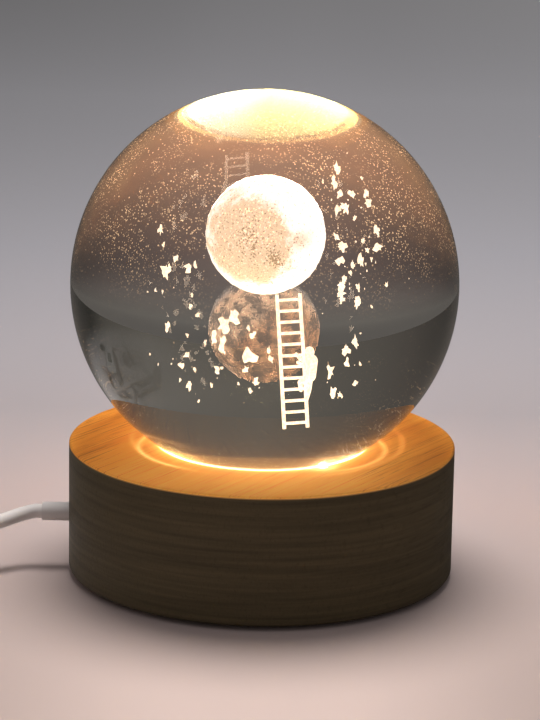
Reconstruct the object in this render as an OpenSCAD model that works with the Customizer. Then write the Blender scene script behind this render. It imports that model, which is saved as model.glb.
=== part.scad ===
// Crystal ball lamp. A solid glass ball, with a moon, a ladder, a climber and stars engraved
// inside it, rests by its ground flat on a turned wooden base. A small round light board in
// the base shines up through a frosted window and the flat. The lead leaves the base on the
// left, has a rocker switch half way and ends in a USB plug.
// Millimetres. The origin is on the table under the middle of the base, and +Z is up.

/* [Ball] */
// Diameter of the glass ball
ball_d = 80; // [76:1:96]
// Diameter of the matt flat ground on the bottom of the ball
flat_d = 42; // [40:0.2:43]
// Distance that the ball lifts when it is taken off its base
lift = 60; // [20:5:150]

/* [Engraved figures] */
// Diameter of the moon
moon_d = 16.8; // [12:0.2:20]
// Height of the middle of the moon above the middle of the ball
moon_rise = 7; // [5:0.5:12]
// Length of the ladder rails
ladder_l = 18.2; // [14:0.2:22]
// Width of the ladder over its rails
ladder_w = 3.6; // [3:0.1:5]
// Thickness of a ladder rail
rail_d = 0.5; // [0.3:0.05:0.7]
// Number of rungs on the ladder
rungs = 12; // [6:1:14]
// Lean of the ladder from upright, in degrees
ladder_lean = 4; // [0:1:8]
// Height of the climber from foot to raised hand
climber_h = 8; // [6:0.2:10]
// Width of the largest stars
star_w = 1.9; // [0.8:0.1:2]
// Thickness of a star at its middle
star_t = 0.4; // [0.2:0.05:0.6]

/* [Base] */
// Distance that the wooden base stands out past the ball, all round
base_out = 0.2; // [-1:0.1:20]
// Height of the wood
base_h = 27; // [26:0.5:40]
// Radius of the eased top edge
top_edge = 0.5; // [0.2:0.1:2]
// Radius of the eased bottom edge
bottom_edge = 0.8; // [0.2:0.1:1.5]
// Depth of the seat that the ball stands in
seat_depth = 0.5; // [0.4:0.1:1]
// Running gap between the ball and the rim of its seat
seat_gap = 0.3; // [0.2:0.05:0.8]
// Width of the wooden land that carries the flat of the ball
seat_land = 1.6; // [1:0.1:2.5]
// Diameter of the round bay for the light board
bay_d = 47; // [46:0.5:49]
// Height of the bay above the bottom cover
bay_h = 15.5; // [15:0.5:16.5]

/* [Light] */
// Thickness of the frosted window
window_t = 1.8; // [1:0.1:2.4]
// Gap between the window and the flat of the ball
window_drop = 0.2; // [0.1:0.05:0.5]
// Width of the ledge that the window lies on
window_ledge = 1.6; // [1:0.1:2.5]
// Diameter of the light board
board_d = 43; // [42.5:0.5:45]
// Thickness of the light board
board_t = 1.6; // [1:0.1:2]
// Number of lights on the board
led_count = 6; // [3:1:8]
// Diameter of the ring that the lights lie on
led_ring_d = 20; // [16:0.5:22]
// Length, width and height of one light
led_size = [3.5, 2.8, 0.8];
// Length, width and height of one resistor
resistor_size = [3.2, 1.6, 0.6];
// Wall of the white reflector at its foot
reflector_wall = 2.8; // [1:0.1:3.2]

/* [Bottom] */
// Diameter of the bottom cover
cover_d = 56; // [55:0.5:60]
// Thickness of the bottom cover
cover_t = 2; // [1.5:0.1:3]
// Diameter of a rubber foot
foot_d = 8; // [5:0.5:8.5]
// Height of a rubber foot
foot_h = 1; // [0.5:0.1:3]
// Number of rubber feet
foot_count = 4; // [3:1:6]

/* [Fasteners] */
// Number of screws in the cover, and in the board
screw_count = 3; // [3:1:4]
// Shank diameter of the cover screws
cover_screw_d = 2.2; // [1.8:0.1:2.6]
// Head diameter of the cover screws
cover_screw_head_d = 4.2; // [3.6:0.1:4.6]
// Length of the cover screws
cover_screw_l = 10; // [7:0.5:12]
// Shank diameter of the board screws
board_screw_d = 1.8; // [1.4:0.1:2.2]
// Head diameter of the board screws
board_screw_head_d = 3.4; // [3:0.1:4]
// Length of the board screws under the head
board_screw_l = 5; // [4:0.25:5.5]
// Clearance all round a screw or a fitted piece
fit = 0.05; // [0.02:0.01:0.1]

/* [Lead] */
// Diameter of the lead
lead_d = 3; // [2.6:0.1:3.1]
// Height of the lead above the table where it leaves the base
lead_z = 11.75; // [11:0.25:12.5]
// Diameter of the strain relief
relief_d = 3.9; // [3.8:0.1:4.4]
// Length of the strain relief outside the wood
relief_out = 5.7; // [4:0.1:8]
// Diameter of the flange on the inner end of the strain relief
relief_flange_d = 6.6; // [6:0.1:7]
// Thickness of the flange on the strain relief
relief_flange_t = 1.4; // [1:0.1:2]
// Diameter of one wire inside the lead
wire_d = 1; // [0.8:0.05:1.1]

/* [Coil] */
// Diameter of the coil at the middle of its turns
coil_mid_d = 36; // [34:0.5:36]
// Gap between neighbouring turns
coil_gap = 0.6; // [0.5:0.05:0.7]
// Turns in each of the two lower layers
lower_turns = 2.375; // [2.3:0.005:2.42]
// Turns in each of the two upper layers
upper_turns = 2.1875; // [2.13:0.0025:2.24]
// Thickness of a tie
tie_t = 0.6; // [0.4:0.1:0.8]
// Width of a tie
tie_w = 5; // [3:0.5:5]

/* [Switch] */
// Length of the switch
switch_l = 36; // [34:0.5:38]
// Width of the switch
switch_w = 14; // [13.5:0.5:15]
// Height of the switch
switch_h = 9.6; // [9:0.1:11]
// Wall of the switch shells
switch_wall = 1.4; // [1.2:0.1:1.6]
// Radius of the corners of the switch
switch_corner = 3; // [2:0.25:4]
// Length of the rocker
rocker_l = 11.6; // [10:0.1:12]
// Width of the rocker
rocker_w = 6.2; // [5:0.1:6.4]
// Diameter of the rocker's pin
pin_d = 1.2; // [1:0.1:1.4]
// Gap round the rocker in its opening
rocker_gap = 0.3; // [0.25:0.05:0.5]
// Tilt of the rocker to each side of level, in degrees
rocker_tilt = 8; // [5:1:9]

/* [Plug] */
// Width of the metal shell of the plug
shell_w = 12; // [11.5:0.1:12.5]
// Height of the metal shell of the plug
shell_h = 4.5; // [4.3:0.1:4.7]
// Length of the metal shell in front of the grip
shell_l = 13; // [11:0.5:15]
// Wall of the metal shell
shell_wall = 0.35; // [0.25:0.05:0.45]
// Length of the plug's grip
grip_l = 22; // [18:0.5:26]
// Width of the plug's grip
grip_w = 16; // [15:0.5:17]
// Height of the plug's grip
grip_h = 8; // [7:0.25:9]
// Length of the tapered neck behind the grip
neck_l = 8; // [5:0.5:12]

/* [Hidden] */
$fn = 96;
eps = 0.01;

// Heights of the base, from the table up
base_z = foot_h;
cover_top = base_z + cover_t;
board_top = cover_top + bay_h;
board_under = board_top - board_t;
wood_top = base_z + base_h;
seat_floor = wood_top - seat_depth;
window_top = seat_floor - window_drop;
window_under = window_top - window_t;
reflector_h = window_under - board_top;

// Width of the base, and radii of the ball, its seat and the light well
base_d = ball_d + 2 * base_out;
ball_r = ball_d / 2;
flat_r = flat_d / 2;
flat_drop = sqrt(ball_r * ball_r - flat_r * flat_r);
ball_z = seat_floor + flat_drop;
rim_drop = ball_z - wood_top;
seat_r = sqrt(ball_r * ball_r - rim_drop * rim_drop) + seat_gap;
pocket_r = flat_r - seat_land;
window_r = pocket_r - 2 * fit;
well_r = window_r - window_ledge;
bay_r = bay_d / 2;

// Circles of screws and feet
cover_screw_r = (bay_r + cover_d / 2 + fit) / 2;
board_screw_r = (well_r + board_d / 2) / 2;
board_screw_head_h = 1.2;
foot_r = (cover_d / 2 + fit + base_d / 2 - bottom_edge) / 2;

// The way of the lead through the wall of the base
relief_seat_x = bay_r + 2;
relief_bore_d = lead_d + 2 * fit;
relief_end_x = base_d / 2 + relief_out;
sheath_end_x = 16;
pad_x = 11;
pad_y = 4;
joint_h = 0.8;
joint_r = 1.3;
joint_tip_r = 0.6;
inner_tie_t = 1;
inner_tie_w = 2.4;

// The coil lies on the table to the left, held by two ties, and each of its two tubes spirals
// in along one layer and out along the next
coil_centre = [-88, -26];
coil_step = lead_d + coil_gap;
coil_out_r = coil_mid_d / 2 + lower_turns * coil_step / 2;
coil_z = tie_t + 0.1 + lead_d / 2;
loop_rings = 24;
lower_start = 90;
upper_start = 225;
tie_angles = [160, 340];
tie_slack = 0.4;
tie_corner = 1.2;
tie_head = [6, 4, 1.6];

// A layer of the coil, counted from 0, at t turns into a tube with n turns to each layer
function smooth(u) = u <= 0 ? 0 : u >= 1 ? 1 : u * u * (3 - 2 * u);
function spiral_r(t, n) = coil_out_r - coil_step * (n - abs(t - n));
function coil_point(t, n, start, layer) =
  let (a = start + 360 * t, r = spiral_r(t, n), climb = smooth((t - n) * 2 + 0.5))
  [coil_centre[0] + r * cos(a), coil_centre[1] + r * sin(a), coil_z + coil_step * (layer + climb)];
function coil_heading(a) = [-sin(a), cos(a), 0];
function coil_turns(n, start, layer) =
  let (steps = ceil(2 * n * loop_rings))
  [for (i = [0 : steps]) coil_point(2 * n * i / steps, n, start, layer)];
function with_straight_ends(p, first, last) =
  concat([p[0] - lead_d * first], p, [p[len(p) - 1] + lead_d * last]);

lower_end = lower_start + 720 * lower_turns;
upper_end = upper_start + 720 * upper_turns;
lower_coil = with_straight_ends(coil_turns(lower_turns, lower_start, 0),
  coil_heading(lower_start), coil_heading(lower_end));
upper_coil = with_straight_ends(coil_turns(upper_turns, upper_start, 2),
  coil_heading(upper_start), coil_heading(upper_end));

// The least gap between turns, over points that are more than half a turn apart
function far_pairs(p) = [for (i = [0 : len(p) - 1]) for (j = [i + 12 : 1 : len(p) - 1]) norm(p[i] - p[j])];
function cross_pairs(p, q) = [for (a = p) for (b = q) norm(a - b)];
echo(least_gap_lower_coil = min(far_pairs(lower_coil)) - lead_d);
echo(least_gap_upper_coil = min(far_pairs(upper_coil)) - lead_d);
echo(least_gap_between_coils = min(cross_pairs(lower_coil, upper_coil)) - lead_d);

// Where the switch and the plug lie on the table
switch_pos = [-97, 12];
lead_split = switch_h / 2;
plug_pos = [-77, 30];
plug_z = grip_h / 2;

// The free stretches of the lead, from the lamp to the plug. Each meets the coil in line with it
function beside_coil(p, angle, along) = p + along * lead_d * coil_heading(angle);
lower_first = lower_coil[0];
lower_last = lower_coil[len(lower_coil) - 1];
upper_first = upper_coil[0];
upper_last = upper_coil[len(upper_coil) - 1];
from_lamp = [[-relief_end_x, 0, lead_z], [-relief_end_x - lead_d / 2, 0, lead_z], [-49.3, -0.5, 11.4],
  [-51, -1.4, 11.1], [-52.7, -2.7, 10.8], [-54.4, -4.2, 10.6], [-56.8, -5.7, 10.1], [-60, -6.7, 9.1],
  [-63.5, -7, 7.6], [-67, -6.8, 6.1], [-70.8, -6, 4.6], [-74.5, -5, 3.4], [-78.5, -4.1, 2.5],
  beside_coil(lower_first, lower_start, -1), lower_first];
to_switch = [lower_last, beside_coil(lower_last, lower_end, 1), [-65.9, -16, 5], [-66, -11.5, 3.1],
  [-66, -6.5, 1.9], [-66, -1.5, 1.6], [-66.3, 3.5, 1.7], [-68.2, 8, 2.3], [-71.8, 11, 3.5],
  [switch_pos[0] + switch_l / 2 + lead_d, switch_pos[1], lead_split],
  [switch_pos[0] + switch_l / 2, switch_pos[1], lead_split]];
from_switch = [[switch_pos[0] - switch_l / 2, switch_pos[1], lead_split],
  [switch_pos[0] - switch_l / 2 - lead_d, switch_pos[1], lead_split], [-123, 10.7, 4.2],
  [-126.7, 7, 3], [-128, 2, 2], [-127.8, -4, 1.6], [-126.8, -10, 1.8], [-125, -16, 2.6],
  [-122.4, -21.8, 3.9], [-119, -26.8, 5.4], [-115.2, -31, 7], [-111.4, -34.6, 8.5],
  beside_coil(upper_first, upper_start, -1), upper_first];
to_plug = [upper_last, beside_coil(upper_last, upper_end, 1), [-65.9, -15.5, 12.5], [-66, -11, 11.7],
  [-66, -6.5, 10.7], [-66, -2, 9.6], [-66, 3, 8.3], [-66, 8, 6.9], [-66, 13, 5.7], [-66, 18, 4.8],
  [-67, 23.2, 4.2], [-70, 27.6, 4], [plug_pos[0] + lead_d, plug_pos[1], plug_z],
  [plug_pos[0], plug_pos[1], plug_z]];
free_sides = 8;
coil_sides = 6;

// A round tube swept along points, as rings of triangles, with flat ends
function unit(v) = v / norm(v);
function heading(p, i) = unit(p[min(i + 1, len(p) - 1)] - p[max(i - 1, 0)]);
function ring(p, i, r, sides, up) =
  let (t = heading(p, i), s = unit(cross(up, t)), u = cross(t, s))
  [for (k = [0 : sides - 1]) let (a = 360 * (k + 0.5) / sides) p[i] + r * (cos(a) * s + sin(a) * u)];

module tube(p, d, sides, up = [0, 0, 1]) {
  n = len(p);
  points = [for (i = [0 : n - 1]) each ring(p, i, d / 2, sides, up)];
  wall = [for (i = [0 : n - 2]) for (k = [0 : sides - 1])
    let (a = i * sides + k, b = i * sides + (k + 1) % sides, c = a + sides, e = b + sides)
    each [[a, c, e], [a, e, b]]];
  start = [for (k = [1 : sides - 2]) [0, k, k + 1]];
  last = (n - 1) * sides;
  finish = [for (k = [1 : sides - 2]) [last, last + k + 1, last + k]];
  polyhedron(points, concat(start, wall, finish));
}

// Copies round the middle of the base
module around(count, r, first = 0) {
  for (i = [0 : count - 1]) rotate(first + 360 * i / count) translate([r, 0, 0]) children();
}

// A cylinder that lies along X, from x0 to x1
module bar_x(x0, x1, d) {
  translate([x0, 0, 0]) rotate([0, 90, 0]) cylinder(d = d, h = x1 - x0);
}

// A rectangle with round corners, about its middle
module round_rect(w, h, r) {
  square([w - 2 * r, h], center = true);
  square([w, h - 2 * r], center = true);
  for (x = [-1, 1]) for (y = [-1, 1]) translate([x * (w / 2 - r), y * (h / 2 - r)]) circle(r);
}

// Half the section of a disc with eased edges
module disc_section(r, h, low, high) {
  square([r - max(low, high), h]);
  translate([0, low]) square([r, h - low - high]);
  square([r - low, low]);
  translate([0, h - high]) square([r - high, high]);
  translate([r - low, low]) circle(low);
  translate([r - high, h - high]) circle(high);
}

// The screws, with the point up and the underside of the head at z = 0
module cross_slot(d, depth) {
  for (a = [0, 90]) rotate(a) translate([-d / 2, -d / 12, -eps]) cube([d, d / 6, depth + eps]);
}

module countersunk_screw(d, head_d, l) {
  head_h = (head_d - d) / 2;
  difference() {
    union() {
      cylinder(d1 = head_d, d2 = d, h = head_h);
      cylinder(d = d, h = l - d);
      translate([0, 0, l - d]) cylinder(d1 = d, d2 = 0.4, h = d);
    }
    cross_slot(head_d * 0.6, head_h * 0.6);
  }
}

module pan_screw(d, head_d, head_h, l) {
  difference() {
    union() {
      translate([0, 0, -head_h]) cylinder(d1 = head_d * 0.8, d2 = head_d, h = head_h / 2);
      translate([0, 0, -head_h / 2]) cylinder(d = head_d, h = head_h / 2);
      cylinder(d = d, h = l - d);
      translate([0, 0, l - d]) cylinder(d1 = d, d2 = 0.4, h = d);
    }
    translate([0, 0, -head_h]) cross_slot(head_d * 0.6, head_h * 0.5);
  }
}

// The wooden base and what is in it

module wood_base() {
  color([0.24, 0.19, 0.14]) difference() {
    translate([0, 0, base_z]) rotate_extrude() disc_section(base_d / 2, base_h, bottom_edge, top_edge);
    translate([0, 0, seat_floor]) cylinder(r = seat_r, h = seat_depth + 1);
    translate([0, 0, window_under]) cylinder(r = pocket_r, h = base_h);
    translate([0, 0, board_top - 1]) cylinder(r = well_r, h = base_h);
    translate([0, 0, base_z - 1]) cylinder(r = bay_r, h = board_top - base_z + 1);
    translate([0, 0, base_z - 1]) cylinder(d = cover_d + 2 * fit, h = cover_t + 1);
    translate([0, 0, lead_z]) bar_x(-base_d, -bay_r + 1, relief_d + 2 * fit);
    translate([0, 0, lead_z]) bar_x(-relief_seat_x, -bay_r + 1, relief_flange_d + 1);
    translate([0, 0, base_z]) around(screw_count, cover_screw_r)
      cylinder(d = cover_screw_d + 2 * fit, h = cover_screw_l + 0.5);
    translate([0, 0, board_top - 1]) around(screw_count, board_screw_r)
      cylinder(d = board_screw_d + 2 * fit, h = board_screw_l - board_t + 1.4);
  }
}

module light_window() {
  color([0.98, 0.93, 0.8]) translate([0, 0, window_under]) cylinder(r = window_r, h = window_t);
}

module reflector_ring() {
  outer = well_r - 2 * fit;
  color("white") translate([0, 0, board_top]) rotate_extrude()
    polygon([[outer - reflector_wall, 0], [outer, 0], [outer, reflector_h], [outer - 0.6, reflector_h]]);
}

module light_board() {
  color([0.92, 0.92, 0.9]) translate([0, 0, board_under]) difference() {
    cylinder(d = board_d, h = board_t);
    translate([0, 0, -1]) around(screw_count, board_screw_r)
      cylinder(d = board_screw_d + 0.4, h = board_t + 2);
  }
}

module led_chip() {
  base_h = led_size[2] - 0.1;
  translate([-led_size[0] / 2, -led_size[1] / 2, 0]) cube([led_size[0], led_size[1], base_h]);
  translate([0, 0, base_h]) cylinder(d = led_size[1] - 0.6, h = 0.1);
}

module led_chips() {
  color([1, 0.85, 0.45]) translate([0, 0, board_top]) around(led_count, led_ring_d / 2) led_chip();
}

module resistors() {
  size = resistor_size;
  cap = 0.5;
  color([0.12, 0.12, 0.12]) for (y = [-2, 2]) translate([-size[0] / 2, y - size[1] / 2, board_top]) {
    translate([cap, 0, 0]) cube([size[0] - 2 * cap, size[1], size[2]]);
    for (x = [0, size[0] - cap]) translate([x, 0, 0]) cube([cap, size[1], size[2] - 0.1]);
  }
}

module solder_joints() {
  color([0.75, 0.76, 0.78]) for (y = [-pad_y, pad_y]) translate([-pad_x, y, board_under - joint_h])
    cylinder(r1 = joint_tip_r, r2 = joint_r, h = joint_h);
}

module board_screws() {
  color([0.8, 0.8, 0.82]) translate([0, 0, board_under]) around(screw_count, board_screw_r)
    pan_screw(board_screw_d, board_screw_head_d, board_screw_head_h, board_screw_l);
}

// One wire, from the end of the sheath to its joint, on the side of the sign
function wire_route(side) =
  let (y0 = 0.7 * side, y1 = pad_y * side, tip = board_under - joint_h)
  [[-sheath_end_x, y0, lead_z], [-sheath_end_x + wire_d, y0, lead_z],
   [-13.4, y0 + (y1 - y0) * 0.25, lead_z + 0.5], [-12, y0 + (y1 - y0) * 0.6, lead_z + 1.4],
   [-11.2, y0 + (y1 - y0) * 0.92, lead_z + 2.5], [-pad_x, y1, tip - wire_d], [-pad_x, y1, tip]];

module wire_red() {
  color([0.75, 0.1, 0.08]) tube(wire_route(1), wire_d, free_sides, [0, 1, 0]);
}

module wire_black() {
  color([0.08, 0.08, 0.08]) tube(wire_route(-1), wire_d, free_sides, [0, 1, 0]);
}

module inner_lead() {
  color([0.85, 0.84, 0.83]) translate([0, 0, lead_z]) bar_x(-relief_end_x, -sheath_end_x, lead_d);
}

module inner_lead_tie() {
  outer_d = lead_d + 2 * inner_tie_t;
  x = -relief_seat_x + relief_flange_t + fit;
  color([0.93, 0.93, 0.9]) translate([x, 0, lead_z]) difference() {
    union() {
      bar_x(0, inner_tie_w, outer_d);
      translate([0, -1.2, outer_d / 2 - 0.5]) cube([inner_tie_w + 0.8, 2.4, 1.5]);
    }
    bar_x(-1, inner_tie_w + 2, lead_d + 2 * fit);
  }
}

module strain_relief() {
  color([0.8, 0.78, 0.76]) translate([0, 0, lead_z]) difference() {
    union() {
      bar_x(-relief_end_x, -relief_seat_x + relief_flange_t, relief_d);
      bar_x(-relief_seat_x, -relief_seat_x + relief_flange_t, relief_flange_d);
    }
    bar_x(-relief_end_x - 1, -relief_seat_x + relief_flange_t + 1, relief_bore_d);
  }
}

module bottom_cover() {
  head_h = (cover_screw_head_d - cover_screw_d) / 2;
  color([0.13, 0.13, 0.13]) translate([0, 0, base_z]) difference() {
    cylinder(d = cover_d, h = cover_t);
    around(screw_count, cover_screw_r) {
      translate([0, 0, -1]) cylinder(d = cover_screw_d + 4 * fit, h = cover_t + 2);
      translate([0, 0, -eps]) cylinder(d1 = cover_screw_head_d + 2 * fit, d2 = cover_screw_d, h = head_h + 2 * fit);
    }
  }
}

module cover_screws() {
  color([0.8, 0.8, 0.82]) translate([0, 0, base_z]) around(screw_count, cover_screw_r)
    countersunk_screw(cover_screw_d, cover_screw_head_d, cover_screw_l);
}

module rubber_feet() {
  color([0.1, 0.1, 0.1]) around(foot_count, foot_r, 45) rotate_extrude() disc_section(foot_d / 2, foot_h, 0.2, 0.1);
}

// The glass ball and the figures inside it

module crystal_ball() {
  color([0.8, 0.86, 0.9, 0.45]) translate([0, 0, ball_z]) difference() {
    sphere(r = ball_r);
    translate([0, 0, -ball_r - flat_drop]) cylinder(r = ball_r, h = ball_r);
  }
}

module engraved_moon() {
  color([0.99, 0.94, 0.86]) translate([0, 0, ball_z + moon_rise]) sphere(d = moon_d);
}

// The ladder hangs just under the moon, a little to the right, and leans
ladder_top = [3.2, 0, ball_z + moon_rise - moon_d / 2];
rung_step = ladder_l / rungs;

module engraved_ladder() {
  color([0.99, 0.92, 0.82]) translate(ladder_top) rotate([0, -ladder_lean, 0]) {
    for (x = [-1, 1]) translate([x * (ladder_w - rail_d) / 2, 0, -ladder_l]) cylinder(d = rail_d, h = ladder_l);
    for (i = [0 : rungs - 1]) translate([0, 0, -rung_step * (i + 0.5)])
      bar_x(-(ladder_w - rail_d) / 2, (ladder_w - rail_d) / 2, rail_d * 0.8);
  }
}

// A plain figure of round limbs, climbing on the right of the ladder
module limb(a, b, d) {
  v = b - a;
  l = norm(v);
  translate(a) rotate([0, acos(v[2] / l), atan2(v[1], v[0])]) {
    cylinder(d = d, h = l);
    sphere(d = d);
    translate([0, 0, l]) sphere(d = d);
  }
}

module engraved_climber() {
  s = climber_h / 10;
  hips = [0.4, -0.5, 3.6] * s;
  chest = [0.1, -0.5, 6] * s;
  head = [-0.1, -0.5, 8] * s;
  color([0.99, 0.94, 0.86]) translate([5.9, -1.2, ball_z - 16.2]) {
    limb(hips, chest, 2.2 * s);
    translate(head) sphere(d = 1.9 * s);
    limb(chest, [-1.2, 0.2, 7.6] * s, 0.7 * s);
    limb([-1.2, 0.2, 7.6] * s, [-1.9, 0.6, 9.6] * s, 0.6 * s);
    limb(chest, [-1.6, 0, 5.4] * s, 0.7 * s);
    limb(hips, [-1, 0, 2.6] * s, 1 * s);
    limb([-1, 0, 2.6] * s, [-0.9, 0.3, 1] * s, 0.8 * s);
    limb(hips, [0.4, -0.2, 1.6] * s, 1 * s);
    limb([0.4, -0.2, 1.6] * s, [-0.5, 0.2, 0.4] * s, 0.8 * s);
  }
}

// A four-pointed star, thickest at its middle
module star(w) {
  tip = w / 2;
  notch = w * 0.16;
  rim = [for (k = [0 : 7]) let (r = k % 2 == 0 ? tip : notch) [r * cos(45 * k), 0, r * sin(45 * k)]];
  points = concat(rim, [[0, star_t * w / star_w / 2, 0], [0, -star_t * w / star_w / 2, 0]]);
  back = [for (k = [0 : 7]) [8, (k + 1) % 8, k]];
  front = [for (k = [0 : 7]) [9, k, (k + 1) % 8]];
  polyhedron(points, concat(back, front));
}

// Drifts of stars, each given by a middle, a half width and half height, a count and a seed
star_drifts = [[[12, 0, 7], [3.6, 11], 34, 5], [[-5.5, 0, -9], [6.6, 6.5], 26, 8], [[-13, 0, 3], [3, 5.5], 10, 3],
  [[10.5, 0, -11], [2.6, 4.5], 8, 21]];
star_depth = 5;

// A star keeps its own cell of a grid over the drift, so that no two touch
module star_drift(drift) {
  middle = drift[0];
  count = drift[2];
  columns = ceil(sqrt(count * drift[1][0] / drift[1][1]));
  rows = ceil(count / columns);
  cell = [2 * drift[1][0] / columns, 2 * drift[1][1] / rows];
  r = rands(0, 1, 5 * count, drift[3]);
  for (i = [0 : count - 1]) {
    w = star_w * (0.3 + 0.7 * r[5 * i] * r[5 * i]);
    slack = [max(cell[0] - star_w, 0), max(cell[1] - star_w, 0)];
    x = (i % columns + 0.5) * cell[0] - drift[1][0] + (r[5 * i + 1] - 0.5) * slack[0];
    z = (floor(i / columns) + 0.5) * cell[1] - drift[1][1] + (r[5 * i + 2] - 0.5) * slack[1];
    y = star_depth * (r[5 * i + 3] - 0.5) * 2;
    translate(middle + [x, y, z]) rotate([0, 90 * r[5 * i + 4], 0]) star(w);
  }
}

module engraved_stars() {
  color([0.99, 0.93, 0.83]) translate([0, 0, ball_z]) for (drift = star_drifts) star_drift(drift);
}

// The lead, its coil and its ties

module lead_from_lamp() {
  color([0.85, 0.84, 0.83]) tube(from_lamp, lead_d, free_sides);
}

module lead_coil_lower() {
  color([0.85, 0.84, 0.83]) tube(lower_coil, lead_d, coil_sides);
}

module lead_to_switch() {
  color([0.85, 0.84, 0.83]) tube(to_switch, lead_d, free_sides);
}

module lead_from_switch() {
  color([0.85, 0.84, 0.83]) tube(from_switch, lead_d, free_sides);
}

module lead_coil_upper() {
  color([0.85, 0.84, 0.83]) tube(upper_coil, lead_d, coil_sides);
}

module lead_to_plug() {
  color([0.85, 0.84, 0.83]) tube(to_plug, lead_d, free_sides);
}

// Two bands round the bundle of turns, each with a small head, which the coil lies on
module coil_ties() {
  inner_r = coil_out_r - lower_turns * coil_step - lead_d / 2 - tie_slack;
  outer_r = coil_out_r + lead_d / 2 + tie_slack;
  top = coil_z + 3 * coil_step + lead_d / 2 + tie_slack;
  mid = [(inner_r + outer_r) / 2, (tie_t + top) / 2];
  hole = [outer_r - inner_r, top - tie_t];
  color([0.2, 0.2, 0.21]) translate([coil_centre[0], coil_centre[1], 0]) for (a = tie_angles) rotate(a) {
    translate([0, tie_w / 2, 0]) rotate([90, 0, 0]) linear_extrude(tie_w) difference() {
      translate(mid) round_rect(hole[0] + 2 * tie_t, hole[1] + 2 * tie_t, tie_corner + tie_t);
      translate(mid) round_rect(hole[0], hole[1], tie_corner);
    }
    translate([mid[0] - tie_head[0] / 2, -tie_head[1] / 2, top + tie_t - eps]) cube(tie_head);
  }
}

// The switch: two shells on the table, with the rocker across their opening

pin_z = switch_h - 3.2;
rib_t = 1.2;
rib_y = rocker_w / 2 + rocker_gap + rib_t / 2;
rib_l = 3.6;
boss_d = 3.6;
boss_x = switch_l / 2 - 4.5;
boss_y = switch_w / 2 - switch_wall - boss_d / 2 - 0.2;
shell_screw_d = 1.6;
shell_screw_head_d = 3;
shell_screw_head_h = 0.9;
bridge_t = 0.3;
bridge_l = 9.2;
rocker_top = 3.7;
rocker_dip = rocker_top - rocker_l / 2 * tan(rocker_tilt);
rocker_under = 1.6;
contact_x = bridge_l / 2 - 0.2;
contact_top = pin_z - (bridge_l / 2) * sin(rocker_tilt) - (rocker_under + bridge_t) * cos(rocker_tilt) - 0.12;

module at_switch() {
  translate([switch_pos[0], switch_pos[1], 0]) children();
}

module switch_outline(inset) {
  round_rect(switch_l - 2 * inset, switch_w - 2 * inset, switch_corner - inset);
}

module switch_bosses(h) {
  for (s = [-1, 1]) translate([s * boss_x, s * boss_y, 0]) cylinder(d = boss_d, h = h);
}

module switch_screw_holes(d, h) {
  for (s = [-1, 1]) translate([s * boss_x, s * boss_y, 0]) cylinder(d = d, h = h);
}

module switch_lead_hole() {
  translate([0, 0, lead_split]) bar_x(-switch_l, switch_l, relief_bore_d);
}

module switch_lower_shell() {
  color([0.88, 0.87, 0.85]) at_switch() difference() {
    union() {
      difference() {
        linear_extrude(lead_split) switch_outline(0);
        translate([0, 0, switch_wall]) linear_extrude(switch_h) switch_outline(switch_wall);
      }
      switch_bosses(lead_split);
    }
    switch_lead_hole();
    translate([0, 0, -1]) switch_screw_holes(shell_screw_d + 4 * fit, switch_h);
    translate([0, 0, -1]) switch_screw_holes(shell_screw_head_d + 4 * fit, shell_screw_head_h + 1 + 2 * fit);
  }
}

module switch_upper_shell() {
  color([0.88, 0.87, 0.85]) at_switch() difference() {
    union() {
      difference() {
        translate([0, 0, lead_split]) linear_extrude(switch_h - lead_split) switch_outline(0);
        translate([0, 0, lead_split - 1]) linear_extrude(switch_h - lead_split - switch_wall + 1) switch_outline(switch_wall);
      }
      translate([0, 0, lead_split]) switch_bosses(switch_h - lead_split - eps);
      for (s = [-1, 1]) translate([-rib_l / 2, s * rib_y - rib_t / 2, pin_z - 1.5])
        cube([rib_l, rib_t, switch_h - pin_z + 1.5 - switch_wall + eps]);
    }
    translate([-rocker_l / 2 - 0.8, -rocker_w / 2 - rocker_gap, pin_z]) cube([rocker_l + 1.6, rocker_w + 2 * rocker_gap, switch_h]);
    switch_lead_hole();
    translate([0, switch_w / 2 - switch_wall, pin_z]) rotate([90, 0, 0]) cylinder(d = pin_d + 2 * fit, h = switch_w - 2 * switch_wall);
    translate([0, 0, lead_split - 1]) switch_screw_holes(shell_screw_d + 2 * fit, 4.2);
  }
}

module switch_screws() {
  color([0.8, 0.8, 0.82]) at_switch() for (s = [-1, 1]) translate([s * boss_x, s * boss_y, shell_screw_head_h + 2 * fit])
    pan_screw(shell_screw_d, shell_screw_head_d, shell_screw_head_h, 6.2);
}

module switch_contacts() {
  color([0.83, 0.66, 0.3]) at_switch() for (s = [-1, 1]) {
    translate([s * (contact_x + 1.5) - 2.5, -1.5, switch_wall]) cube([5, 3, 0.4]);
    translate([s * contact_x - 0.2, -1.5, switch_wall]) cube([0.4, 3, contact_top - switch_wall]);
  }
}

module switch_lead_ends() {
  color([0.85, 0.84, 0.83]) at_switch() translate([0, 0, lead_split]) {
    bar_x(-switch_l / 2, -switch_l / 2 + 6, lead_d);
    bar_x(switch_l / 2 - 6, switch_l / 2, lead_d);
  }
}

module rocker_pin() {
  color([0.75, 0.76, 0.78]) at_switch() translate([0, rib_y + rib_t / 2, pin_z]) rotate([90, 0, 0])
    cylinder(d = pin_d, h = 2 * rib_y + rib_t);
}

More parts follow.
